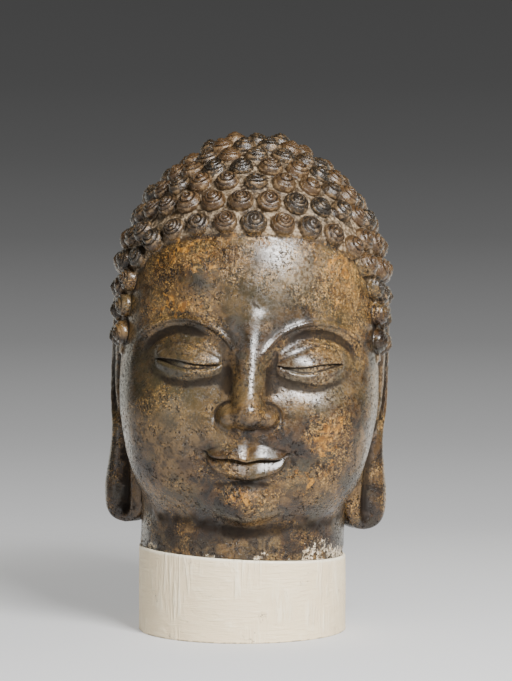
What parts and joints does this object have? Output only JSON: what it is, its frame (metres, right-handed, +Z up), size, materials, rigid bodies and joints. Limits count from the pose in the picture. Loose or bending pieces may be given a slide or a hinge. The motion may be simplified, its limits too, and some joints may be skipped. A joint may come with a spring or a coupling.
{
  "type": "stone buddha head",
  "caption": "Over-life-size carved stone Buddha head with snail-shell curls and long ears, held up by a round painted neck mount.",
  "frame": {"origin": "centre of the neck mount's flat underside", "axes": "+Z straight up; -Y is the way the face looks; +X is towards the right as seen by a viewer in front"},
  "size_m": [0.4663, 0.5175, 0.7979],
  "materials": {
    "stone": "dark patina, worn to a soft gloss",
    "painted_mount": "brushed cream paint"
  },
  "bodies": {
    "root": {"head": "stone", "neck_mount": "painted_mount"}
  },
  "joints": []
}
